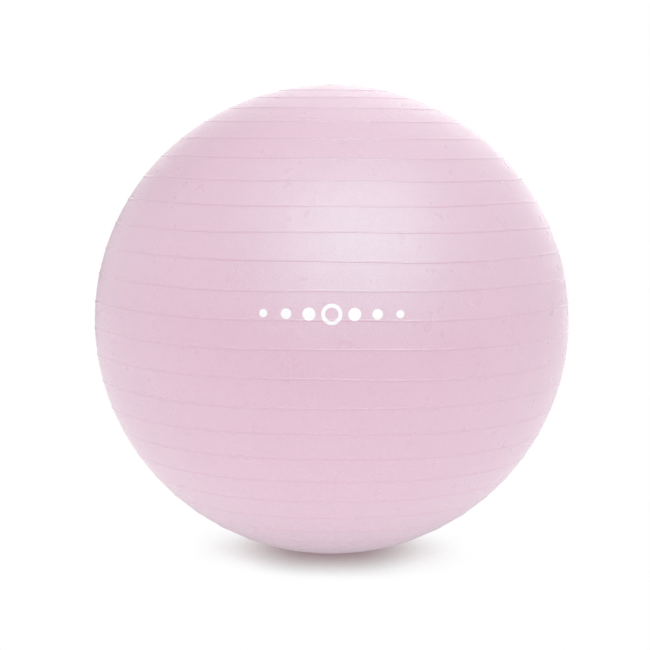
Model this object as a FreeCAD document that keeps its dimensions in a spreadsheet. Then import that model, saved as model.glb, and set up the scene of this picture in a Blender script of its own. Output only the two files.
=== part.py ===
"""Inflated exercise ball with latitude ribs, a bonded valve seat, its push-in plug and a printed mark.

Millimetres.  The origin is the middle of the patch that the ball stands on, +Z runs up through the
valve and the printed mark faces -Y.
"""

import FreeCAD, Part
import math
import os

import Sketcher

SIZES = {
    # the inflated ball: an oval of revolution, pressed flat where it stands
    "ball_width": 650,
    "free_height": 642.6,
    "foot_depth": 2,
    "wall": 0.8,
    # raised ribs, evenly spaced in latitude and counted from the valve
    "rib_pitch": 6.55,
    "rib_width": 3,
    "rib_height": 0.7,
    # valve seat: a bush whose flange is bonded under the crown
    "neck_radius": 11.5,
    "flange_radius": 19,
    "flange_depth": 2.6,
    "sleeve_top_radius": 8,
    "sleeve_end_radius": 6.8,
    "sleeve_length": 21,
    "bore_radius": 4.4,
    "lead_in": 0.6,
    "recess_radius": 9.4,
    "recess_depth": 1.2,
    # push-in plug: a flat head on a barbed stem
    "fit_gap": 0.1,
    "head_gap": 0.4,
    "head_thickness": 1.8,
    "head_edge": 0.5,
    "stem_length": 26,
    "tip_radius": 2.9,
    "tip_length": 3,
    "barb_pitch": 6,
    "barb_width": 1.8,
    "barb_height": 0.5,
    # printed mark: a ring with dots on both sides, smaller outwards
    "ink_film": 0.1,
    "ink_lift": 0.02,
    "mark_height": 34.7,
    "mark_pitch": 28,
    "ring_radius": 13,
    "ring_hole": 8.2,
    "dot_radius": 8,
    "dot_step": 1.5,
}

FIRST_RIB = 2
LAST_RIB = 26
RIB_UNDER_MARK = 13
BARBS = 3
DOTS_A_SIDE = 3
FULL_TURN = 360
CLEAR = 20  # how far cutting profiles run past the ball

HORIZONTAL_AXIS = -1
VERTICAL_AXIS = -2
START, END, MIDDLE = 1, 2, 3

# radii and heights worked out from the sheet, as expressions
HALF_WIDTH = "Sizes.ball_width / 2"
HALF_HEIGHT = "Sizes.free_height / 2"
BALL_CENTRE = f"({HALF_HEIGHT} - Sizes.foot_depth)"
ABOVE_BALL = f"(Sizes.free_height + {CLEAR})"
BESIDE_BALL = f"({HALF_WIDTH} + {CLEAR})"
RIB_CURVE = "((Sizes.rib_height ^ 2 + (Sizes.rib_width / 2) ^ 2) / (2 * Sizes.rib_height))"
RIB_SINK = f"({RIB_CURVE} - Sizes.rib_height)"


def oval_height(radius, grow):
    """Height of the ball's oval, grown by a distance, at a radius from its axis."""
    half_width = f"({HALF_WIDTH} + {grow})"
    half_height = f"({HALF_HEIGHT} + {grow})"
    return f"({BALL_CENTRE} + {half_height} * sqrt(1 - ({radius} / {half_width}) ^ 2))"


SEAT_TOP = oval_height("Sizes.neck_radius", "0")
RECESS_FLOOR = f"({SEAT_TOP} - Sizes.recess_depth)"
HEAD_RADIUS = "(Sizes.recess_radius - Sizes.head_gap)"
HEAD_TOP = f"({RECESS_FLOOR} + Sizes.head_thickness)"
BARB_RADIUS = "(Sizes.bore_radius - Sizes.fit_gap)"
STEM_RADIUS = f"({BARB_RADIUS} - Sizes.barb_height)"
STEM_END = f"({RECESS_FLOOR} - Sizes.stem_length)"
FILM_TOP = "(Sizes.ink_lift + Sizes.ink_film)"


def make_sheet(doc):
    sheet = doc.addObject("Spreadsheet::Sheet", "Sizes")
    for row, (name, value) in enumerate(SIZES.items(), start=1):
        sheet.set(f"A{row}", name)
        sheet.set(f"B{row}", str(value))
        sheet.setAlias(f"B{row}", name)
    doc.recompute()


def make_body(doc, name):
    body = doc.addObject("PartDesign::Body", name)
    body.Label = name
    body.Placement = FreeCAD.Placement()
    return body


def upright_sketch(body, name):
    """A sketch on the body's own XZ plane: sketch X is the radius and sketch Y is the height."""
    sketch = body.newObject("Sketcher::SketchObject", name)
    plane = next(feature for feature in body.Origin.OriginFeatures if feature.Role == "XZ_Plane")
    sketch.AttachmentSupport = [(plane, "")]
    sketch.MapMode = "FlatFace"
    return sketch


def worth(sketch, expression):
    return float(sketch.evalExpression(expression))


def constrain(sketch, kind, *where):
    sketch.addConstraint(Sketcher.Constraint(kind, *where))


def dimension(sketch, kind, *where_and_expression):
    """Add a dimension that follows an expression of the sheet."""
    *where, expression = where_and_expression
    index = sketch.addConstraint(Sketcher.Constraint(kind, *where, worth(sketch, expression)))
    sketch.renameConstraint(index, f"size_{index}")
    sketch.setExpression(f"Constraints.size_{index}", expression)


def hold_radius(sketch, edge, end, radius):
    """Hold a point of an edge at a radius; "0" puts it on the vertical axis."""
    if radius == "0":
        constrain(sketch, "PointOnObject", edge, end, VERTICAL_AXIS)
    else:
        dimension(sketch, "DistanceX", HORIZONTAL_AXIS, START, edge, end, radius)


def hold_height(sketch, edge, end, height):
    """Hold a point of an edge at a height; "0" puts it on the horizontal axis."""
    if height == "0":
        constrain(sketch, "PointOnObject", edge, end, HORIZONTAL_AXIS)
    else:
        dimension(sketch, "DistanceY", HORIZONTAL_AXIS, START, edge, end, height)


def point_at(sketch, corner):
    radius, height = corner
    return FreeCAD.Vector(worth(sketch, radius), worth(sketch, height), 0)


def draw_polygon(sketch, corners):
    """A closed outline of straight edges through corners given as (radius, height)."""
    points = [point_at(sketch, corner) for corner in corners]
    for start, end in zip(points, points[1:] + points[:1]):
        sketch.addGeometry(Part.LineSegment(start, end))
    for edge, corner in enumerate(corners):
        constrain(sketch, "Coincident", edge, END, (edge + 1) % len(corners), START)
        hold_radius(sketch, edge, START, corner[0])
        hold_height(sketch, edge, START, corner[1])


def draw_oval(sketch, grow, floor, mouth, corners):
    """The ball's oval, grown by a distance, from a floor height round to a mouth radius.

    Straight edges close it from the mouth, through the corners, back to the floor.
    """
    half_width = worth(sketch, f"{HALF_WIDTH} + {grow}")
    half_height = worth(sketch, f"{HALF_HEIGHT} + {grow}")
    centre = point_at(sketch, ("0", BALL_CENTRE))
    side = centre + FreeCAD.Vector(half_width, 0, 0)
    crown = centre + FreeCAD.Vector(0, half_height, 0)
    from_angle = -math.asin((centre.y - worth(sketch, floor)) / half_height)
    to_angle = math.acos(worth(sketch, mouth) / half_width)
    arc = Part.ArcOfEllipse(Part.Ellipse(side, crown, centre), from_angle, to_angle)
    oval = sketch.addGeometry(arc)
    sketch.exposeInternalGeometry(oval)
    across, upright = oval + 1, oval + 2
    constrain(sketch, "PointOnObject", oval, MIDDLE, VERTICAL_AXIS)
    dimension(sketch, "DistanceY", HORIZONTAL_AXIS, START, oval, MIDDLE, BALL_CENTRE)
    constrain(sketch, "Horizontal", across)
    dimension(sketch, "DistanceX", across, END, across, START, f"Sizes.ball_width + 2 * {grow}")
    dimension(sketch, "DistanceY", upright, END, upright, START, f"Sizes.free_height + 2 * {grow}")
    hold_height(sketch, oval, START, floor)
    hold_radius(sketch, oval, END, mouth)

    stops = [arc.EndPoint] + [point_at(sketch, corner) for corner in corners] + [arc.StartPoint]
    last = (oval, END)
    for start, end, corner in zip(stops, stops[1:], corners + [None]):
        edge = sketch.addGeometry(Part.LineSegment(start, end))
        constrain(sketch, "Coincident", *last, edge, START)
        if corner:
            hold_radius(sketch, edge, END, corner[0])
            hold_height(sketch, edge, END, corner[1])
        last = (edge, END)
    constrain(sketch, "Coincident", *last, oval, START)


def turn(body, kind, sketch, name):
    """Turn a profile right round the body's vertical axis: kind is Revolution or Groove."""
    feature = body.newObject(f"PartDesign::{kind}", name)
    feature.Profile = (sketch, [""])
    feature.ReferenceAxis = (sketch, ["V_Axis"])
    feature.Angle = FULL_TURN
    sketch.Visibility = False
    return feature


def turned_polygon(doc, name, corners):
    """A sub-part turned from one straight-edged profile."""
    body = make_body(doc, name)
    sketch = upright_sketch(body, f"{name}_profile")
    draw_polygon(sketch, corners)
    turn(body, "Revolution", sketch, f"{name}_turned")
    return body


def rib(body, kind, number, grow="0"):
    """The ring that a rib's rounded back is part of: kind is AdditiveTorus or SubtractiveTorus."""
    ring = body.newObject(f"PartDesign::{kind}", f"{body.Name}_rib_{number}")
    angle = f"{number} * Sizes.rib_pitch"
    ring.setExpression("Radius1", f"({HALF_WIDTH} - {RIB_SINK}) * sin({angle})")
    ring.setExpression("Radius2", f"{RIB_CURVE} + {grow}")
    ring.setExpression("Placement.Base.z", f"{BALL_CENTRE} + ({HALF_HEIGHT} - {RIB_SINK}) * cos({angle})")
    return ring


def make_ball_shell(doc):
    """The blown shell: an oval with raised ribs, hollow, open only where the valve seat goes in."""
    body = make_body(doc, "ball_shell")
    outside = upright_sketch(body, "shell_outside")
    draw_oval(outside, "0", "0", "0", [("0", "0")])
    turn(body, "Revolution", outside, "shell_solid")
    for number in range(FIRST_RIB, LAST_RIB + 1):
        rib(body, "AdditiveTorus", number)
    inside = upright_sketch(body, "shell_inside")
    mouth_to_floor = [("Sizes.neck_radius", ABOVE_BALL), ("0", ABOVE_BALL), ("0", "Sizes.wall")]
    draw_oval(inside, "-Sizes.wall", "Sizes.wall", "Sizes.neck_radius", mouth_to_floor)
    turn(body, "Groove", inside, "shell_cavity")
    return body


def make_valve_seat(doc):
    """Bush through the crown: flange bonded inside, sleeve hanging down, recess for the plug's head."""
    flange_floor = f"({SEAT_TOP} - Sizes.flange_depth)"
    sleeve_end = f"({SEAT_TOP} - Sizes.sleeve_length)"
    corners = [
        ("Sizes.neck_radius", SEAT_TOP),
        ("Sizes.recess_radius", SEAT_TOP),
        ("Sizes.recess_radius", RECESS_FLOOR),
        ("(Sizes.bore_radius + Sizes.lead_in)", RECESS_FLOOR),
        ("Sizes.bore_radius", f"({RECESS_FLOOR} - Sizes.lead_in)"),
        ("Sizes.bore_radius", sleeve_end),
        ("Sizes.sleeve_end_radius", sleeve_end),
        ("Sizes.sleeve_top_radius", flange_floor),
        ("Sizes.flange_radius", flange_floor),
        ("Sizes.flange_radius", oval_height("Sizes.flange_radius", "-Sizes.wall")),
        ("Sizes.neck_radius", oval_height("Sizes.neck_radius", "-Sizes.wall")),
    ]
    return turned_polygon(doc, "valve_seat", corners)


def make_valve_plug(doc):
    """Push-in plug: flat head with a bevelled edge, and a stem with barbs that bite when pulled."""
    corners = [
        ("0", HEAD_TOP),
        (f"({HEAD_RADIUS} - Sizes.head_edge)", HEAD_TOP),
        (HEAD_RADIUS, f"({HEAD_TOP} - Sizes.head_edge)"),
        (HEAD_RADIUS, RECESS_FLOOR),
        (STEM_RADIUS, RECESS_FLOOR),
    ]
    for number in range(1, BARBS + 1):
        step = f"({RECESS_FLOOR} - {number} * Sizes.barb_pitch)"
        corners += [
            (STEM_RADIUS, step),
            (BARB_RADIUS, step),
            (STEM_RADIUS, f"({step} - Sizes.barb_width)"),
        ]
    corners += [
        (STEM_RADIUS, f"({STEM_END} + Sizes.tip_length)"),
        ("Sizes.tip_radius", STEM_END),
        ("0", STEM_END),
    ]
    return turned_polygon(doc, "valve_plug", corners)


def draw_circle(sketch, across, up, radius):
    """A circle of the mark, whose place and radius are expressions."""
    centre = point_at(sketch, (across, up))
    circle = sketch.addGeometry(Part.Circle(centre, FreeCAD.Vector(0, 0, 1), worth(sketch, radius)))
    hold_radius(sketch, circle, MIDDLE, across)
    hold_height(sketch, circle, MIDDLE, up)
    dimension(sketch, "Radius", circle, radius)
    return circle


def draw_mark(sketch):
    """A ring on the middle line, with a row of dots on each side that shrink outwards."""
    height = f"({BALL_CENTRE} + Sizes.mark_height)"
    draw_circle(sketch, "0", height, "Sizes.ring_radius")
    draw_circle(sketch, "0", height, "Sizes.ring_hole")
    for number in range(1, DOTS_A_SIDE + 1):
        radius = f"(Sizes.dot_radius - {number - 1} * Sizes.dot_step)"
        right = draw_circle(sketch, f"({number} * Sizes.mark_pitch)", height, radius)
        dot = sketch.Geometry[right]
        mirrored = FreeCAD.Vector(-dot.Center.x, dot.Center.y, 0)
        left = sketch.addGeometry(Part.Circle(mirrored, dot.Axis, dot.Radius))
        constrain(sketch, "Symmetric", left, MIDDLE, right, MIDDLE, VERTICAL_AXIS)
        constrain(sketch, "Equal", left, right)


def make_front_print(doc):
    """The mark's film of ink: the mark's outline, trimmed to one film's thickness on the shell."""
    body = make_body(doc, "front_print")
    body.AllowCompound = True
    mark = upright_sketch(body, "mark_outline")
    draw_mark(mark)
    pad = body.newObject("PartDesign::Pad", "mark_forwards")
    pad.Profile = (mark, [""])
    pad.setExpression("Length", f"{HALF_WIDTH} + {FILM_TOP}")
    mark.Visibility = False

    under = upright_sketch(body, "under_film")
    draw_oval(under, "Sizes.ink_lift", "0", "0", [("0", "0")])
    turn(body, "Groove", under, "ball_cleared")
    over = upright_sketch(body, "over_film")
    outer_corners = [("0", ABOVE_BALL), (BESIDE_BALL, ABOVE_BALL), (BESIDE_BALL, "0")]
    draw_oval(over, FILM_TOP, "0", "0", outer_corners)
    turn(body, "Groove", over, "outside_cleared")
    rib(body, "SubtractiveTorus", RIB_UNDER_MARK, "Sizes.ink_lift")
    return body


def check_document(doc, bodies):
    """Stop before anything is written if a feature failed or a sub-part isn't a valid solid."""
    failed = [item.Name for item in doc.Objects if {"Invalid", "Error"} & set(item.State)]
    if failed:
        raise RuntimeError(f"failed features: {failed}")
    for body in bodies:
        if body.Shape.isNull() or not body.Shape.isValid() or not body.Shape.Solids:
            raise RuntimeError(f"{body.Label} has no valid solid")


def main():
    doc = FreeCAD.newDocument("exercise_ball")
    make_sheet(doc)
    bodies = [
        make_ball_shell(doc),
        make_valve_seat(doc),
        make_valve_plug(doc),
        make_front_print(doc),
    ]
    doc.recompute()
    check_document(doc, bodies)
    os.makedirs("parts", exist_ok=True)
    for body in bodies:
        body.Shape.exportStep(f"parts/{body.Label}.step")
        print(body.Label, len(body.Shape.Solids), "solids", round(body.Shape.Volume), "mm3")


main()
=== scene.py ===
"""Looks of the exercise ball: ribbed, pebble-grained PVC shell, printed mark, valve seat and plug.

Metres, in the CAD model's own frame: +Z runs up through the valve and the printed mark faces -Y.
"""

import math

import bmesh
import bpy
import numpy as np
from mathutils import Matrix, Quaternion, Vector


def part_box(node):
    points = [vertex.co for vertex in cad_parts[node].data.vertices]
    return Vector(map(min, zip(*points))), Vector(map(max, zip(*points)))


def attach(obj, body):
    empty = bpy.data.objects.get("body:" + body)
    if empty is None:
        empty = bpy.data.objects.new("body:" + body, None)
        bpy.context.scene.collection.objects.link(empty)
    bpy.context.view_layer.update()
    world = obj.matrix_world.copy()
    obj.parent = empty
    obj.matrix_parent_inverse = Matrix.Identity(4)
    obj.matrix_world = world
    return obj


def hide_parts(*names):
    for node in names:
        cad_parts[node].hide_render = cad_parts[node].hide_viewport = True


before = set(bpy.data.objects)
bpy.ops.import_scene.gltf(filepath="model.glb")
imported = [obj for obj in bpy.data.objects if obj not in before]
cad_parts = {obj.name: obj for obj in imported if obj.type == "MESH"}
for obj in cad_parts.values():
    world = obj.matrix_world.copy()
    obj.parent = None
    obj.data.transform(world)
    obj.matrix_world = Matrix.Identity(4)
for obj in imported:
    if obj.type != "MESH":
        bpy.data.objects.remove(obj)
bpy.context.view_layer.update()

MM = 0.001

# The ball's oval and its ribs, as the CAD model has them
HALF_WIDTH = 325 * MM
HALF_HEIGHT = 321.3 * MM
FOOT_DEPTH = 2 * MM
CENTRE_HEIGHT = HALF_HEIGHT - FOOT_DEPTH
WALL = 0.8 * MM
NECK_RADIUS = 11.5 * MM
RIB_PITCH = math.radians(6.55)
RIB_NUMBERS = range(2, 27)

# How a rib is moulded: a flat back with soft flanks. RIB_MARGIN is the strip of skin beside it
# that is as finely meshed.
RIB_HEIGHT = 0.52 * MM
RIB_WIDTH = 3.1 * MM
RIB_FLANK = 0.75 * MM
RIB_MARGIN = 0.2 * MM

# How a rib strays down the skin, in shares of RIB_WANDER: an offset and waves of (share, number
# around the ball) that all the ribs have together, and waves of (share, number around the ball,
# turn from one rib to the next) that each has alone
RIB_WANDER = 1.1 * MM
SHARED_OFFSET = 0.4
SHARED_WAVES = [(0.6, 2), (-1.0, 6)]
OWN_WAVES = [(0.7, 2, 1.7), (0.5, 3, 2.9), (0.12, 17, 4.1)]

# The blown skin isn't a perfect oval: it lies up to SKIN_SWELL inside it, in waves of (share,
# number around the ball, number down the ball, phase), and it turns softly into the flat foot
SKIN_SWELL = 0.3 * MM
SWELL_WAVES = [(0.5, 2, 3, 0), (0.3, 5, -4, 1), (0.2, 3, 9, 2)]
FOOT_SOFTNESS = 0.35 * MM

# Faces that meet at more than this are shaded as an edge
SHARPEST_BEND = math.radians(50)
WELD_DISTANCE = 0.001 * MM

# Steps of the meshes: around, then down over one rib, one band, the skin by the valve, the foot and
# the whole inside, and over one rounded corner of a turned piece
SHELL_SEGMENTS = 288
TURNED_SEGMENTS = 96
RIB_STEPS = 12
BAND_STEPS = 6
CAP_STEPS = 14
FOOT_STEPS = 16
INNER_STEPS = 120
CORNER_STEPS = 4

SHELL_NODE, SEAT_NODE, PLUG_NODE, PRINT_NODE = "ball_shell", "valve_seat", "valve_plug", "front_print"


# ---------------------------------------------------------------------------------------------
# The skin's surface
# ---------------------------------------------------------------------------------------------

def ease(share):
    """0 to 1 with soft ends, for a share from 0 to 1."""
    return share * share * (3 - 2 * share)


def wander(around, number):
    """How far a rib strays down the skin, going around the ball: partly all together, partly alone."""
    together = sum((share * np.cos(waves * around) for share, waves in SHARED_WAVES), SHARED_OFFSET)
    alone = sum(share * np.sin(waves * around + turn * number) for share, waves, turn in OWN_WAVES)
    return RIB_WANDER * np.sin(number * RIB_PITCH) ** 2 * (together + alone)


def strayed(polar, around):
    """The angle of a mesh ring that keeps to the straying ribs, for its angle on straight ones."""
    above = np.floor(polar / RIB_PITCH)
    share = ease(polar / RIB_PITCH - above)
    stray = wander(around, above) * (1 - share) + wander(around, above + 1) * share
    return polar + stray / HALF_WIDTH


def rib_share(polar, around):
    """0 on the bands and 1 on a rib's back, at an angle down from the valve."""
    number = np.clip(np.round(polar / RIB_PITCH), RIB_NUMBERS[0], RIB_NUMBERS[-1])
    off_line = np.abs((polar - number * RIB_PITCH) * HALF_WIDTH - wander(around, number))
    return ease(np.clip((RIB_WIDTH / 2 - off_line) / RIB_FLANK, 0, 1))


def swell(polar, around):
    """Slow unevenness of the blown skin, from -SKIN_SWELL to 0."""
    wave = sum(
        share * np.sin(across * around + down * polar + phase)
        for share, across, down, phase in SWELL_WAVES
    )
    return SKIN_SWELL * (wave - 1) / 2


def skin_points(polar, around, lift=0.0):
    """Points of the outer skin, raised by a lift, for arrays of angles."""
    out = swell(polar, around) + RIB_HEIGHT * rib_share(polar, around) + lift
    radius = (HALF_WIDTH + out) * np.sin(polar)
    height = CENTRE_HEIGHT + (HALF_HEIGHT + out) * np.cos(polar)
    height = (height + np.sqrt(height * height + FOOT_SOFTNESS**2)) / 2
    return np.stack([radius * np.sin(around), -radius * np.cos(around), height], axis=-1)


def skin_angles():
    """Angles down from the valve at which the skin has a ring of points, closest on the ribs."""
    half_angle = (RIB_WIDTH / 2 + RIB_MARGIN) / HALF_WIDTH
    neck = math.asin(NECK_RADIUS / HALF_WIDTH)
    angles = [np.linspace(neck, RIB_NUMBERS[0] * RIB_PITCH - half_angle, CAP_STEPS, endpoint=False)]
    for number in RIB_NUMBERS:
        line = number * RIB_PITCH
        angles.append(np.linspace(line - half_angle, line + half_angle, RIB_STEPS, endpoint=False))
        if number < RIB_NUMBERS[-1]:
            following = line + RIB_PITCH - half_angle
            angles.append(np.linspace(line + half_angle, following, BAND_STEPS, endpoint=False))
    last = RIB_NUMBERS[-1] * RIB_PITCH + half_angle
    angles.append(np.linspace(last, math.pi, FOOT_STEPS))
    return np.concatenate(angles)


# ---------------------------------------------------------------------------------------------
# Meshes
# ---------------------------------------------------------------------------------------------

def add_mesh(name, points, faces, smooth=True):
    """A new object in the scene from points and faces."""
    mesh = bpy.data.meshes.new(name)
    mesh.from_pydata([tuple(p) for p in points], [], faces)
    mesh.validate()
    mesh.update()
    if smooth:
        mesh.shade_smooth()
    piece = bpy.data.objects.new(name, mesh)
    bpy.context.scene.collection.objects.link(piece)
    return piece


def ring_faces(rings, segments, first=0, flip=False):
    """Quads between neighbouring rings of points, each ring closed on itself."""
    ring, step = np.meshgrid(np.arange(rings - 1), np.arange(segments), indexing="ij")
    after = (step + 1) % segments
    quads = np.stack(
        [
            first + ring * segments + step,
            first + (ring + 1) * segments + step,
            first + (ring + 1) * segments + after,
            first + ring * segments + after,
        ],
        axis=-1,
    ).reshape(-1, 4)
    if flip:
        quads = quads[:, ::-1]
    return quads.tolist()


def turns(segments):
    """Angles around the vertical axis, evenly spaced."""
    return np.arange(segments) * 2 * math.pi / segments


def outer_skin():
    """Points of the ribbed outside, ring by ring, without the foot's middle, and their rib shares."""
    polar, turn = np.meshgrid(skin_angles()[:-1], turns(SHELL_SEGMENTS), indexing="ij")
    polar = strayed(polar, turn)
    return skin_points(polar, turn).reshape(-1, 3), rib_share(polar, turn).ravel()


def inner_skin():
    """Points of the plain inside, ring by ring, without the foot's middle."""
    neck = math.asin(NECK_RADIUS / (HALF_WIDTH - WALL))
    down = np.linspace(neck, math.pi, INNER_STEPS)[:-1]
    polar, turn = np.meshgrid(down, turns(SHELL_SEGMENTS), indexing="ij")
    radius = (HALF_WIDTH - WALL) * np.sin(polar)
    height = CENTRE_HEIGHT + (HALF_HEIGHT - WALL) * np.cos(polar)
    height = np.maximum(height, WALL)
    return np.stack([radius * np.sin(turn), -radius * np.cos(turn), height], axis=-1).reshape(-1, 3)


def make_shell():
    """A closed wall: ribbed outside, plain inside, open only at the valve seat's neck."""
    outside, share = outer_skin()
    inside = inner_skin()
    outer_rings, inner_rings = len(outside) // SHELL_SEGMENTS, len(inside) // SHELL_SEGMENTS
    first_inner = len(outside) + 1
    foot, inner_foot = len(outside), first_inner + len(inside)
    foot_point = skin_points(np.array([math.pi]), np.array([0.0]))
    points = np.concatenate([outside, foot_point, inside, [[0, 0, WALL]]])
    faces = ring_faces(outer_rings, SHELL_SEGMENTS)
    faces += ring_faces(inner_rings, SHELL_SEGMENTS, first_inner, flip=True)
    last_outer = (outer_rings - 1) * SHELL_SEGMENTS
    last_inner = first_inner + (inner_rings - 1) * SHELL_SEGMENTS
    for step in range(SHELL_SEGMENTS):
        after = (step + 1) % SHELL_SEGMENTS
        faces.append((last_outer + step, foot, last_outer + after))
        faces.append((last_inner + after, inner_foot, last_inner + step))
        faces.append((step, after, first_inner + after, first_inner + step))

    shell = add_mesh("shell_skin", points, faces)
    shell.data.set_sharp_from_angle(angle=SHARPEST_BEND)
    # How much of a rib each point is, for the material
    layer = shell.data.attributes.new("rib", "FLOAT", "POINT")
    shares = np.zeros(len(points), np.float32)
    shares[: len(share)] = share
    layer.data.foreach_set("value", shares)
    return shell


# The printed mark: a ring with dots on both sides, smaller outwards. Its film thins within INK_EDGE
# of its edge, down to INK_EDGE_SHARE of its thickness.
MARK_HEIGHT = 34.7 * MM
MARK_PITCH = 28 * MM
MARK_RING = (8.2 * MM, 13 * MM)
DOT_RADII = [8 * MM, 6.5 * MM, 5 * MM]
INK_BOTTOM = 0.03 * MM
INK_TOP = 0.12 * MM
INK_EDGE = 0.25 * MM
INK_EDGE_SHARE = 0.35
MARK_SEGMENTS = 96
MARK_STEP = 0.45 * MM


def front_angles(across, up):
    """Angles on the skin of a point that is straight behind (across, up) as seen from the front."""
    polar = np.arccos(np.clip((up + MARK_HEIGHT) / HALF_HEIGHT, -1, 1))
    around = np.arcsin(np.clip(across / (HALF_WIDTH * np.sin(polar)), -1, 1))
    return polar, around


def ink_patch(middle, inner, outer):
    """Points and faces of one closed disc or ring of ink that follows the skin and its rib."""
    steps = max(2, math.ceil((outer - inner) / MARK_STEP))
    radii = np.linspace(inner, outer, steps + 1)
    radius, turn = np.meshgrid(radii, turns(MARK_SEGMENTS), indexing="ij")
    polar, around = front_angles(middle + radius * np.cos(turn), radius * np.sin(turn))
    from_edge = np.minimum(outer - radius, radius - inner if inner else outer)
    thickness = (INK_TOP - INK_BOTTOM) * np.clip(INK_EDGE_SHARE + from_edge / INK_EDGE, 0, 1)
    top = skin_points(polar, around, INK_BOTTOM + thickness).reshape(-1, 3)
    bottom = skin_points(polar, around, INK_BOTTOM).reshape(-1, 3)
    count = len(top)
    faces = ring_faces(steps + 1, MARK_SEGMENTS)
    faces += ring_faces(steps + 1, MARK_SEGMENTS, count, flip=True)
    rims = [(steps * MARK_SEGMENTS, False)]
    if inner:
        rims.append((0, True))
    for rim, inwards in rims:
        for step in range(MARK_SEGMENTS):
            after = (step + 1) % MARK_SEGMENTS
            face = (rim + step, count + rim + step, count + rim + after, rim + after)
            faces.append(face[::-1] if inwards else face)
    return np.concatenate([top, bottom]), faces


def make_print():
    """The generic mark, as one object: the ring and its dots."""
    places = [(0, *MARK_RING)]
    for number, radius in enumerate(DOT_RADII, start=1):
        places += [(side * number * MARK_PITCH, 0, radius) for side in (-1, 1)]
    points, faces = [], []
    for middle, inner, outer in places:
        patch, patch_faces = ink_patch(middle, inner, outer)
        first = sum(len(p) for p in points)
        points.append(patch)
        faces += [tuple(first + i for i in face) for face in patch_faces]
    ink = add_mesh("print_ink", np.concatenate(points), faces)
    weld(ink)
    return ink


def weld(piece):
    """Merge points that share a place, as at the middle of a disc, and mark the sharp edges."""
    work = bmesh.new()
    work.from_mesh(piece.data)
    bmesh.ops.remove_doubles(work, verts=work.verts, dist=WELD_DISTANCE)
    bmesh.ops.recalc_face_normals(work, faces=work.faces)
    work.to_mesh(piece.data)
    work.free()
    piece.data.set_sharp_from_angle(angle=SHARPEST_BEND)


def lathe(name, outline):
    """A closed solid turned about the vertical axis, from an outline of (radius, height) points."""
    around = turns(TURNED_SEGMENTS)
    rings = np.array([[(r * math.sin(a), -r * math.cos(a), z) for a in around] for r, z in outline])
    faces = ring_faces(len(outline), TURNED_SEGMENTS)
    piece = add_mesh(name, rings.reshape(-1, 3), faces)
    weld(piece)
    return piece


def rounded(outline, radius):
    """The outline with each corner between its ends rounded off, by at most a third of an edge."""
    result = [outline[0]]
    for before, corner, after in zip(outline, outline[1:], outline[2:]):
        before, corner, after = Vector(before), Vector(corner), Vector(after)
        back, on = before - corner, after - corner
        reach = min(radius, back.length / 3, on.length / 3)
        start, end = corner + back.normalized() * reach, corner + on.normalized() * reach
        for step in range(CORNER_STEPS + 1):
            t = step / CORNER_STEPS
            result.append(tuple(start * (1 - t) ** 2 + corner * 2 * t * (1 - t) + end * t * t))
    result.append(outline[-1])
    return result


# ---------------------------------------------------------------------------------------------
# Valve
# ---------------------------------------------------------------------------------------------

# The bush and the stopper. SHARP and SOFT are how far their edges are rounded.
BORE_RADIUS = 4.4 * MM
RECESS_RADIUS = 9.4 * MM
RECESS_DEPTH = 1.2 * MM
FLANGE_RADIUS = 19 * MM
FLANGE_DEPTH = 2.6 * MM
SLEEVE_TOP_RADIUS = 8 * MM
SLEEVE_END_RADIUS = 6.8 * MM
HEAD_RADIUS = 9 * MM
STEM_RADIUS = 3.8 * MM
BARB_RADIUS = 4.3 * MM
BARB_PITCH = 6 * MM
BARB_WIDTH = 1.8 * MM
BARBS = 3
TIP_RADIUS = 2.9 * MM
TIP_LENGTH = 3 * MM
SHARP = 0.16 * MM
SOFT = 0.4 * MM
LEAD_IN = 1.5 * SOFT

# The head's face: a gate mark in the middle, and a ring-shaped groove, as inner and outer radii of
# its slopes. Heights are measured down from the head's top.
GATE_SLOPE = (0.9 * MM, 1.1 * MM)
GROOVE_INNER_SLOPE = (5.2 * MM, 5.5 * MM)
GROOVE_OUTER_SLOPE = (6.4 * MM, 6.7 * MM)
GROOVE_DEPTH = 0.35 * MM
FACE_DEPTH = 0.1 * MM
RIM_DEPTH = 0.05 * MM
BEVEL_DEPTH = 0.6 * MM


def under_crown(radius):
    """Height of the wall's inner side at this distance from the valve's axis."""
    return CENTRE_HEIGHT + (HALF_HEIGHT - WALL) * math.sqrt(1 - (radius / (HALF_WIDTH - WALL)) ** 2)


def make_seat():
    """The bush's solid: recess, lead-in, bore, sleeve and the flange under the crown."""
    low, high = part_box(SEAT_NODE)
    top, end = high.z, low.z
    recess = top - RECESS_DEPTH
    flange = top - FLANGE_DEPTH
    neck = (NECK_RADIUS, under_crown(NECK_RADIUS))
    outline = [
        neck,
        (NECK_RADIUS, top),
        (RECESS_RADIUS, top),
        (RECESS_RADIUS, recess),
        (BORE_RADIUS + LEAD_IN, recess),
        (BORE_RADIUS, recess - LEAD_IN),
        (BORE_RADIUS, end),
        (SLEEVE_END_RADIUS, end),
        (SLEEVE_TOP_RADIUS, flange),
        (FLANGE_RADIUS, flange),
        (FLANGE_RADIUS, under_crown(FLANGE_RADIUS)),
        neck,
    ]
    return lathe("valve_bush", rounded(outline, SOFT / 2))


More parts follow.
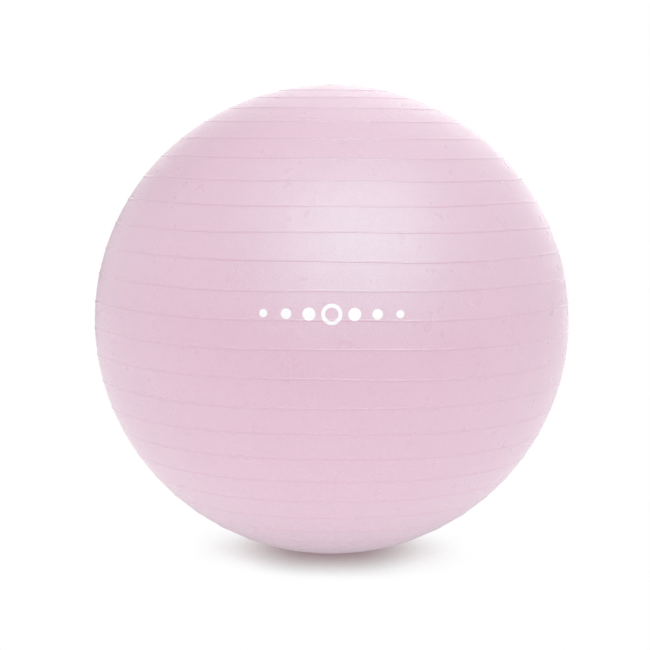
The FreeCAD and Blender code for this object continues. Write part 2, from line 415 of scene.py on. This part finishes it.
def make_plug():
    """The stopper: a head with a moulded groove and gate mark in its face, and a barbed stem."""
    low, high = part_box(PLUG_NODE)
    top, end = high.z, low.z
    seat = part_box(SEAT_NODE)[1].z - RECESS_DEPTH
    outline = [
        (0, top - GROOVE_DEPTH),
        (GATE_SLOPE[0], top - GROOVE_DEPTH),
        (GATE_SLOPE[1], top - FACE_DEPTH),
        (GROOVE_INNER_SLOPE[0], top - FACE_DEPTH),
        (GROOVE_INNER_SLOPE[1], top - GROOVE_DEPTH),
        (GROOVE_OUTER_SLOPE[0], top - GROOVE_DEPTH),
        (GROOVE_OUTER_SLOPE[1], top),
        (HEAD_RADIUS - SOFT, top - RIM_DEPTH),
        (HEAD_RADIUS, top - BEVEL_DEPTH),
        (HEAD_RADIUS, seat),
        (STEM_RADIUS, seat),
    ]
    for number in range(1, BARBS + 1):
        step = seat - number * BARB_PITCH
        outline += [(STEM_RADIUS, step), (BARB_RADIUS, step), (STEM_RADIUS, step - BARB_WIDTH)]
    outline += [(STEM_RADIUS, end + TIP_LENGTH), (TIP_RADIUS, end), (0, end)]
    return lathe("plug_moulding", rounded(outline, SHARP))


# ---------------------------------------------------------------------------------------------
# Materials
# ---------------------------------------------------------------------------------------------

# Feature sizes and depths of the shell's noises, and of the ink's and the valve's
GRAIN_SIZE = 0.85 * MM
GRAIN_DEPTH = 0.12 * MM
MOTTLE_SIZE = 2.4 * MM
WORN_SIZE = 35 * MM
CLOUD_SIZE = 90 * MM
INK_GRAIN_DEPTH = 0.03 * MM
INK_THIN_SIZE = 2.2 * MM
SEAT_BLOOM_SIZE = 0.5 * MM
SEAT_BLOOM_DEPTH = 0.02 * MM
SEAT_CLOUD_SIZE = 6 * MM
PLUG_WAVE_SIZE = 0.8 * MM
PLUG_WAVE_DEPTH = 0.01 * MM
PLUG_WORN_SIZE = 1.5 * MM
PLUG_CLOUD_SIZE = 4 * MM

# Nearly all of a noise's values lie between these
NOISE_RANGE = (0.3, 0.7)

# Colours, linear
PINK = (0.755, 0.494, 0.62, 1)
PINK_DEEP = (0.745, 0.482, 0.61, 1)
PINK_PALE = (0.815, 0.565, 0.68, 1)
RIB_PINK = (0.745, 0.48, 0.60, 1)
PEARL_TINT = (0.45, 1.0, 0.84, 1)
SEAT_PINKS = (0.66, 0.41, 0.52, 1), (0.69, 0.44, 0.55, 1)
PLUG_IVORIES = (0.80, 0.78, 0.73, 1), (0.84, 0.82, 0.78, 1)
INK_WHITE = (0.93, 0.92, 0.93, 1)
INK_THIN = (0.86, 0.78, 0.82, 1)

# Shares of one thing laid over another, and roughnesses
MOTTLE_SHARE = 0.45
PALE_SHARE = 0.8
RIB_SHARE = 0.45
SHELL_ROUGHNESS = (0.27, 0.34)
RIB_ROUGHNESS = 0.27
PLUG_ROUGHNESS = (0.28, 0.4)


class Nodes:
    """A node tree, with a short way to add and join nodes."""

    def __init__(self, tree):
        self.tree = tree

    def add(self, kind, settings=None, **inputs):
        """A new node with these properties and with these inputs, as put takes them."""
        node = self.tree.nodes.new(kind)
        for key, value in (settings or {}).items():
            setattr(node, key, value)
        for key, value in inputs.items():
            self.put(node, key.replace("_", " "), value)
        return node

    def put(self, node, socket, value):
        """Give an input a value, or join it to another node's output."""
        if isinstance(value, bpy.types.NodeSocket):
            self.tree.links.new(value, node.inputs[socket])
        else:
            node.inputs[socket].default_value = value

    def noise(self, size, detail=2.0):
        """Noise of about this feature size over the object, from 0 to 1."""
        places = self.add("ShaderNodeTexCoord").outputs["Object"]
        node = self.add("ShaderNodeTexNoise", Vector=places, Scale=1 / size, Detail=detail)
        return node.outputs["Fac"]

    def span(self, value, low, high, to_low, to_high):
        """The value's range low to high, carried over to another range, with smooth ends."""
        node = self.add("ShaderNodeMapRange", {"interpolation_type": "SMOOTHSTEP"}, Value=value)
        ends = {"From Min": low, "From Max": high, "To Min": to_low, "To Max": to_high}
        for socket, number in ends.items():
            self.put(node, socket, number)
        return node.outputs["Result"]

    def calculate(self, operation, *numbers):
        """The result of one of the Math node's operations."""
        node = self.add("ShaderNodeMath", {"operation": operation})
        for socket, number in enumerate(numbers):
            self.put(node, socket, number)
        return node.outputs["Value"]

    def combine(self, operation, first, second):
        """A vector from two vectors, or a number for a dot product or a distance."""
        node = self.add("ShaderNodeVectorMath", {"operation": operation})
        self.put(node, 0, first)
        self.put(node, 1, second)
        return node.outputs["Value" if operation in ("DOT_PRODUCT", "DISTANCE") else "Vector"]

    def mix(self, share, first, second):
        """First where the share is 0, second where it is 1, for colours or for numbers.

        The node has sockets of its own for each of the two, here by their places.
        """
        if isinstance(first, tuple) or isinstance(second, tuple):
            node, sockets, output = self.add("ShaderNodeMix", {"data_type": "RGBA"}), (0, 6, 7), 2
        else:
            node, sockets, output = self.add("ShaderNodeMix"), (0, 2, 3), 0
        for socket, value in zip(sockets, (share, first, second)):
            self.put(node, socket, value)
        return node.outputs[output]

    def bump(self, height, distance, strength=1.0):
        """The normal of a relief that is this deep where its height goes from 0 to 1."""
        node = self.add("ShaderNodeBump", Height=height, Distance=distance, Strength=strength)
        return node.outputs["Normal"]


class Shader(Nodes):
    """A material with a Principled surface."""

    def __init__(self, name):
        self.material = bpy.data.materials.new(name)
        self.material.use_nodes = True
        super().__init__(self.material.node_tree)
        self.surface = next(n for n in self.tree.nodes if n.type == "BSDF_PRINCIPLED")

    def finish(self, **inputs):
        """Set these inputs of the surface, and hand over the material."""
        for key, value in inputs.items():
            self.put(self.surface, key.replace("_", " "), value)
        return self.material


def shell_material():
    """Satin pearly pink PVC: pebble grain on the bands, no grain and a deeper pink on the ribs."""
    shader = Shader("pink_pvc")
    rib = shader.add("ShaderNodeAttribute", {"attribute_name": "rib"}).outputs["Fac"]
    band = shader.span(rib, 0.1, 0.6, 1.0, 0.0)
    grain = shader.span(shader.noise(GRAIN_SIZE, 1.0), 0.34, 0.66, 0.0, 1.0)
    mottle = shader.span(shader.noise(MOTTLE_SIZE), *NOISE_RANGE, 0.0, 1.0)
    grain_on_band = shader.calculate("MULTIPLY", grain, band)
    paleness = shader.calculate("MULTIPLY", shader.mix(MOTTLE_SHARE, grain, mottle), band)
    clouds = shader.span(shader.noise(CLOUD_SIZE, 3.0), *NOISE_RANGE, 0.0, 1.0)
    cloudy = shader.mix(clouds, PINK_DEEP, PINK)
    grained = shader.mix(shader.calculate("MULTIPLY", paleness, PALE_SHARE), cloudy, PINK_PALE)
    colour = shader.mix(shader.calculate("MULTIPLY", rib, RIB_SHARE), grained, RIB_PINK)
    worn = shader.span(shader.noise(WORN_SIZE, 4.0), *NOISE_RANGE, *SHELL_ROUGHNESS)
    rough = shader.mix(rib, worn, RIB_ROUGHNESS)
    normal = shader.bump(grain_on_band, GRAIN_DEPTH, 0.9)
    return shader.finish(
        Base_Color=colour, Roughness=rough, Normal=normal, IOR=1.576, Specular_Tint=PEARL_TINT,
        Sheen_Weight=0.35, Sheen_Roughness=0.42,
    )


def seat_material():
    """Matt PVC, a deeper pink than the shell, with a fine bloom."""
    shader = Shader("valve_pvc")
    bloom = shader.bump(shader.noise(SEAT_BLOOM_SIZE), SEAT_BLOOM_DEPTH)
    tone = shader.mix(shader.noise(SEAT_CLOUD_SIZE), *SEAT_PINKS)
    return shader.finish(Base_Color=tone, Roughness=0.5, Normal=bloom)


def plug_material():
    """Ivory polythene, a little waxy."""
    shader = Shader("plug_polythene")
    tone = shader.mix(shader.noise(PLUG_CLOUD_SIZE), *PLUG_IVORIES)
    worn = shader.span(shader.noise(PLUG_WORN_SIZE, 3.0), *NOISE_RANGE, *PLUG_ROUGHNESS)
    waves = shader.bump(shader.noise(PLUG_WAVE_SIZE), PLUG_WAVE_DEPTH)
    return shader.finish(Base_Color=tone, Roughness=worn, Normal=waves)


def print_material():
    """White ink: the skin's grain shows through it softly, with faint thin spots."""
    shader = Shader("white_ink")
    grain = shader.span(shader.noise(GRAIN_SIZE, 1.0), 0.36, 0.64, 0, 1)
    thin = shader.span(shader.noise(INK_THIN_SIZE, 3.0), 0.62, 0.8, 0, 0.5)
    tone = shader.mix(thin, INK_WHITE, INK_THIN)
    normal = shader.bump(grain, INK_GRAIN_DEPTH, 0.6)
    return shader.finish(Base_Color=tone, Roughness=0.42, Normal=normal)


def dress(piece, material, body, node):
    """Give a piece its material, put it on its body, and hide the CAD node it stands for."""
    piece.data.materials.clear()
    piece.data.materials.append(material)
    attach(piece, body)
    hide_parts(node)


# ---------------------------------------------------------------------------------------------
# Studio
# ---------------------------------------------------------------------------------------------

# The camera: millimetres of sensor and lens, then its place and where it looks beside the ball's middle
SENSOR = 36.0
LENS = 111.6
CAMERA_DISTANCE = 2.782
CAMERA_ELEVATION = math.radians(5.08)
CAMERA_ROLL = math.radians(0.42)
AIM_LEFT_OF_BALL = 9.25 * MM
AIM_BELOW_BALL = 8.0 * MM

# Directions from the ball are (azimuth, elevation) in degrees: azimuth 0 is towards the camera and
# 90 towards its right. Softboxes: name, direction, width in degrees, radiance.
SOFTBOX_DISTANCE = 2.5
GLOSS_BOXES = [("key", (16, 42), 50, 3.2), ("halo", (12, 46), 84, 1.4), ("rim", (157, 2), 26, 0.6)]
MATT_BOX = ("front", (0, 5), 70, 0.5)

# The dome: its light above and below the horizon, the heights of a direction between which one
# turns into the other, and round patches of (direction, degrees from its middle to where it starts
# to fade, degrees to where it ends, strength)
DOME_LIGHT = 1.1
DOME_LIGHT_BELOW = 0.1
HORIZON = (-0.03, 0.06)
DIM_PATCHES = [((-150, 34), 8, 31, 0.85), ((0, 90), 10, 60, 0.08)]
BRIGHT_PATCH = ((180, 28), 8, 34, 0.7)

# The floor, whose light goes from dim to full with the distance from a place behind the ball. The
# dim part is narrower than it is deep.
FLOOR_FRONT = -0.85
FLOOR_SIDE = 6.0
FLOOR_BACK = 8.0
FLOOR_DIM_Y = 0.32
FLOOR_DIM_REACH = (0.25, 0.6)
FLOOR_DIM_SQUEEZE = 1.65
FLOOR_LIGHT = (0.25, 1.05)

# The contact shadow, worked out from the share of open sky within SKY_REACH, and how its sides fade
SKY_REACH = 1.5
SKY_SAMPLES = 16
SHADOW_DEEP = (0.29, 0.20, 0.22, 1)
SHADOW_PALE = (0.2, 0.2, 0.2, 1)
SHADOW_DEEP_SKY = 0.35
SHADOW_RISE = 2.2
SHADOW_SIDES = (0.04, 0.14)
SHADOW_SIDES_LIFT = 0.16

# A card behind on the left that the gloss shows, and an arched card over the crown
FLAG_TOWARDS = (-165, 0)
FLAG_DISTANCE = 2.5
FLAG_WIDTH = 1.3
FLAG_HEIGHT = 0.75
FLAG_FOOT = 1 * MM
HOOD_START = -80
HOOD_END = 110
HOOD_STEPS = 19
HOOD_ELEVATION = 64
HOOD_REACH = (0.40, 0.70)


def direction(azimuth, elevation):
    """The unit vector to an azimuth, from the camera's side towards its right, and an elevation."""
    azimuth, elevation = math.radians(azimuth), math.radians(elevation)
    flat = math.cos(elevation)
    return Vector((math.sin(azimuth) * flat, -math.cos(azimuth) * flat, math.sin(elevation)))


def make_camera():
    """In front of the ball, a little above its middle, looking slightly left of it and below it."""
    data = bpy.data.cameras.new("camera")
    data.sensor_width = SENSOR
    data.lens = LENS
    camera = bpy.data.objects.new("camera", data)
    bpy.context.scene.collection.objects.link(camera)
    ball = Vector((0, 0, CENTRE_HEIGHT))
    back = Vector((0, -math.cos(CAMERA_ELEVATION), math.sin(CAMERA_ELEVATION)))
    camera.location = ball + back * CAMERA_DISTANCE
    yaw = math.atan(AIM_LEFT_OF_BALL / CAMERA_DISTANCE)
    pitch = -math.atan(AIM_BELOW_BALL / CAMERA_DISTANCE)
    look = (-back).to_track_quat("-Z", "Y")
    turn = Quaternion((0, 1, 0), yaw) @ Quaternion((1, 0, 0), pitch) @ Quaternion((0, 0, 1), CAMERA_ROLL)
    camera.rotation_mode = "QUATERNION"
    camera.rotation_quaternion = look @ turn
    bpy.context.scene.camera = camera


def softbox(name, towards, degrees, radiance, mirrored=True):
    """A square light that either shows in the gloss alone or gives matt light alone."""
    data = bpy.data.lights.new(name, "AREA")
    data.shape = "SQUARE"
    data.size = 2 * SOFTBOX_DISTANCE * math.tan(math.radians(degrees / 2))
    data.energy = radiance * math.pi * data.size**2
    data.cycles.use_multiple_importance_sampling = False
    light = bpy.data.objects.new(name, data)
    light.location = Vector((0, 0, CENTRE_HEIGHT)) + direction(*towards) * SOFTBOX_DISTANCE
    light.rotation_mode = "QUATERNION"
    light.rotation_quaternion = (-direction(*towards)).to_track_quat("-Z", "Y")
    light.visible_camera = False
    light.visible_glossy, light.visible_diffuse = mirrored, not mirrored
    bpy.context.scene.collection.objects.link(light)


def glow(nodes, ray, towards, core, reach, strength):
    """A round soft patch of the dome: full within core degrees of its middle, none past reach."""
    nearness = nodes.combine("DOT_PRODUCT", ray, direction(*towards))
    near, far = math.cos(math.radians(core)), math.cos(math.radians(reach))
    return nodes.span(nearness, far, near, 0.0, strength)


def make_dome():
    """White to the camera. To all else an even sky with two dim patches and a bright one, dark below."""
    world = bpy.data.worlds.new("dome")
    world.use_nodes = True
    world.cycles.sampling_method = "NONE"
    nodes = Nodes(world.node_tree)
    ray = nodes.add("ShaderNodeTexCoord").outputs["Generated"]
    height = nodes.add("ShaderNodeSeparateXYZ", Vector=ray).outputs["Z"]
    sky = DOME_LIGHT
    for patch in DIM_PATCHES:
        sky = nodes.calculate("SUBTRACT", sky, glow(nodes, ray, *patch))
    sky = nodes.calculate("ADD", sky, glow(nodes, ray, *BRIGHT_PATCH))
    around = nodes.mix(nodes.span(height, *HORIZON, 0.0, 1.0), DOME_LIGHT_BELOW, sky)
    camera_ray = nodes.add("ShaderNodeLightPath").outputs["Is Camera Ray"]
    background = world.node_tree.nodes["Background"]
    nodes.put(background, "Color", (1, 1, 1, 1))
    nodes.put(background, "Strength", nodes.mix(camera_ray, around, 1.0))
    bpy.context.scene.world = world


def card_material(name):
    """A material with no nodes yet, whose light isn't sampled as a lamp's, and its node tree."""
    material = bpy.data.materials.new(name)
    material.use_nodes = True
    material.cycles.emission_sampling = "NONE"
    material.node_tree.nodes.clear()
    return material, Nodes(material.node_tree)


def contact_shadow(nodes, spot):
    """White, but darker where the ball hides the sky, most of all right under it."""
    sky = nodes.add("ShaderNodeAmbientOcclusion", {"samples": SKY_SAMPLES}, Distance=SKY_REACH)
    open_sky = sky.outputs["AO"]
    shade = nodes.mix(nodes.span(open_sky, 0.0, SHADOW_DEEP_SKY, 0.0, 1.0), SHADOW_DEEP, SHADOW_PALE)
    aside = nodes.calculate("ABSOLUTE", nodes.add("ShaderNodeSeparateXYZ", Vector=spot).outputs["X"])
    sides = nodes.span(aside, *SHADOW_SIDES, 0.0, SHADOW_SIDES_LIFT)
    lit = nodes.calculate("MULTIPLY_ADD", open_sky, SHADOW_RISE, sides)
    return nodes.combine("MINIMUM", nodes.combine("ADD", shade, lit), (1, 1, 1))


def floor_light(nodes, spot):
    """The strength of the floor's light on the ball, dimmest at the place behind it."""
    place = nodes.combine("MULTIPLY", spot, (FLOOR_DIM_SQUEEZE, 1, 1))
    away = nodes.combine("DISTANCE", place, (0, FLOOR_DIM_Y, 0))
    return nodes.span(away, *FLOOR_DIM_REACH, *FLOOR_LIGHT)


def make_floor():
    """A light table: to the camera white with a contact shadow, and to all else a lamp."""
    near = [(-FLOOR_SIDE, FLOOR_FRONT, 0), (FLOOR_SIDE, FLOOR_FRONT, 0)]
    far = [(FLOOR_SIDE, FLOOR_BACK, 0), (-FLOOR_SIDE, FLOOR_BACK, 0)]
    floor = add_mesh("floor", near + far, [(0, 1, 2, 3)], smooth=False)
    material, nodes = card_material("light_table")
    spot = nodes.add("ShaderNodeTexCoord").outputs["Object"]
    photographed = nodes.add("ShaderNodeEmission", Color=contact_shadow(nodes, spot))
    lamp = nodes.add("ShaderNodeEmission", Strength=floor_light(nodes, spot))
    both = nodes.add("ShaderNodeMixShader")
    nodes.put(both, 0, nodes.add("ShaderNodeLightPath").outputs["Is Camera Ray"])
    nodes.put(both, 1, lamp.outputs[0])
    nodes.put(both, 2, photographed.outputs[0])
    nodes.add("ShaderNodeOutputMaterial", Surface=both.outputs[0])
    floor.data.materials.append(material)


def make_flag():
    """A black card that only the ball's gloss shows: it draws the left outline."""
    toward = direction(*FLAG_TOWARDS) * FLAG_DISTANCE
    across = Vector((-toward.y, toward.x, 0)).normalized() * FLAG_WIDTH / 2
    corners = [toward - across, toward + across]
    points = [(p.x, p.y, z) for z in (FLAG_FOOT, FLAG_HEIGHT) for p in corners]
    flag = add_mesh("flag", points, [(0, 1, 3, 2)], smooth=False)
    material, nodes = card_material("black_card")
    black = nodes.add("ShaderNodeEmission", Strength=0.0)
    nodes.add("ShaderNodeOutputMaterial", Surface=black.outputs[0])
    flag.data.materials.append(material)
    flag.visible_camera = flag.visible_shadow = flag.visible_diffuse = False


def make_hood():
    """An arched card that only casts shadow: it keeps the softboxes' light off the ball's crown."""
    ball = Vector((0, 0, CENTRE_HEIGHT))
    points, faces = [], []
    for step in range(HOOD_STEPS + 1):
        azimuth = HOOD_START + (HOOD_END - HOOD_START) * step / HOOD_STEPS
        points += [ball + direction(azimuth, HOOD_ELEVATION) * reach for reach in HOOD_REACH]
    for first in range(0, 2 * HOOD_STEPS, 2):
        faces.append((first, first + 1, first + 3, first + 2))
    hood = add_mesh("hood", points, faces, smooth=False)
    hood.visible_camera = hood.visible_glossy = hood.visible_diffuse = False


def make_studio():
    """All that isn't the object: camera, light table, cards, dome and softboxes."""
    make_camera()
    make_floor()
    make_flag()
    make_hood()
    make_dome()
    for box in GLOSS_BOXES:
        softbox(*box)
    softbox(*MATT_BOX, mirrored=False)
    bpy.context.scene.view_settings.view_transform = "Standard"


dress(make_shell(), shell_material(), "ball", SHELL_NODE)
dress(make_seat(), seat_material(), "ball", SEAT_NODE)
dress(make_plug(), plug_material(), "plug", PLUG_NODE)
dress(make_print(), print_material(), "ball", PRINT_NODE)
make_studio()
